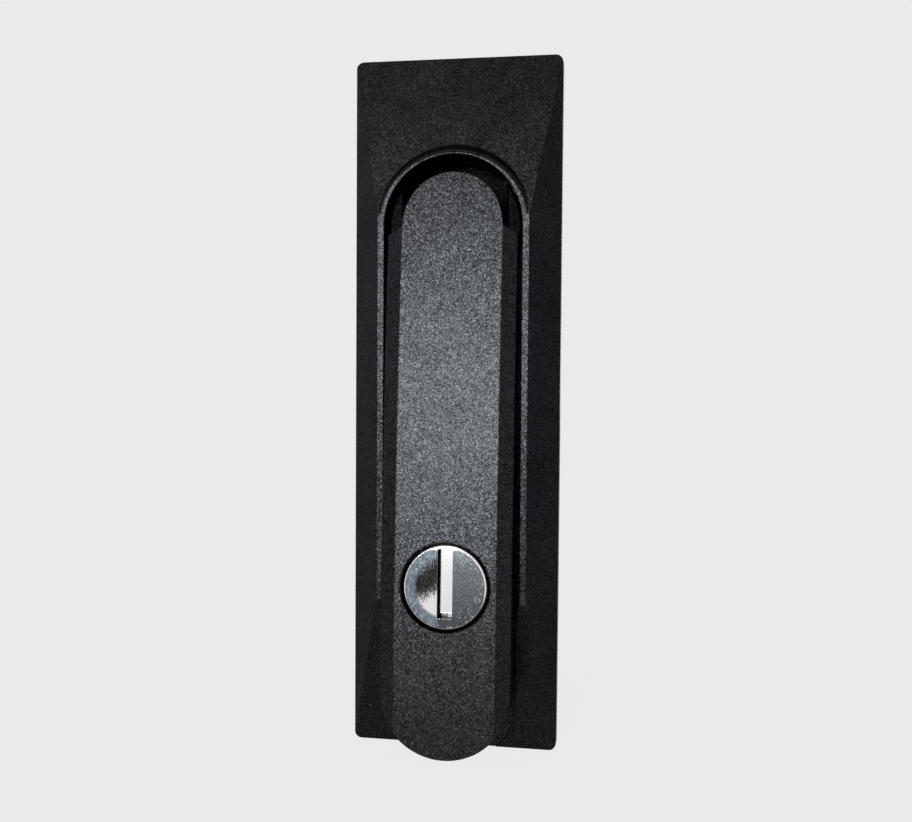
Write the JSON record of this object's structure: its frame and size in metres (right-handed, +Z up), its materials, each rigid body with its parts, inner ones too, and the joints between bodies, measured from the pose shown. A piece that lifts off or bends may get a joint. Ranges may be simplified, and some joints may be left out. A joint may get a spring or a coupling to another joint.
{
  "type": "swing handle latch",
  "caption": "Swing handle latch for a cabinet door: lift-out handle on a turning rotor, slotted lock barrel, lock bar and rod cam on a long hip-roofed base plate.",
  "frame": {"origin": "centre of the base plate on the panel's front face, which is the gasket's rear face", "axes": "the latch faces -Y, +Y points back through the panel, +Z runs up the plate to the pivot end, +X is the viewer's right"},
  "size_m": [0.045, 0.0502, 0.1494],
  "materials": {
    "powder_coat": "fine textured black powder coat on die-cast zinc",
    "handle_coat": "fine textured black powder coat on die-cast zinc, slightly glossier",
    "rotor_zinc": "black-coated die-cast zinc",
    "chrome": "fine turned, bright chromed",
    "zinc_steel": "zinc plated steel",
    "dark_steel": "blackened steel",
    "bright_steel": "ground steel",
    "brass": "turned",
    "gasket_rubber": "matt black"
  },
  "bodies": {
    "base": {"base_plate": "powder_coat", "panel_gasket": "gasket_rubber", "thread_inserts": "brass", "keeper": "zinc_steel", "keeper_screws": "dark_steel"},
    "rotor": {"rotor": "rotor_zinc", "rotor_o_ring": "gasket_rubber", "thrust_washer": "zinc_steel", "circlip": "dark_steel", "stop_washer": "zinc_steel", "rod_cam": "zinc_steel", "cam_washer": "zinc_steel", "cam_screw": "dark_steel", "hinge_pin": "bright_steel", "detent_balls": "bright_steel", "detent_springs": "bright_steel"},
    "handle": {"handle": "handle_coat", "bar_straps": "zinc_steel", "strap_screws": "dark_steel"},
    "barrel": {"barrel": "chrome", "barrel_clip": "dark_steel"},
    "lock_bar": {"lock_bar": "zinc_steel"}
  },
  "joints": [
    {"name": "handle_swing", "type": "hinge", "parent": "base", "child": "rotor", "pos_m": [0, 0, 0.0384], "axis": [0, -1, 0], "range_deg": [0, 90]},
    {"name": "handle_lift", "type": "hinge", "parent": "rotor", "child": "handle", "pos_m": [0, -0.0025, 0.0384], "axis": [-1, 0, 0], "range_deg": [0, 40]},
    {"name": "key_turn", "type": "hinge", "parent": "handle", "child": "barrel", "pos_m": [0, -0.01619, -0.0373], "axis": [0, 0.999, -0.0446], "range_deg": [0, 90]},
    {"name": "lock_bar_slide", "type": "slide", "parent": "handle", "child": "lock_bar", "axis": [0, 0, -1], "range_m": [0, 0.004]}
  ],
  "couplings": [
    {"joint": "lock_bar_slide", "follows": "key_turn", "m_per_rad": 0.0025465}
  ]
}
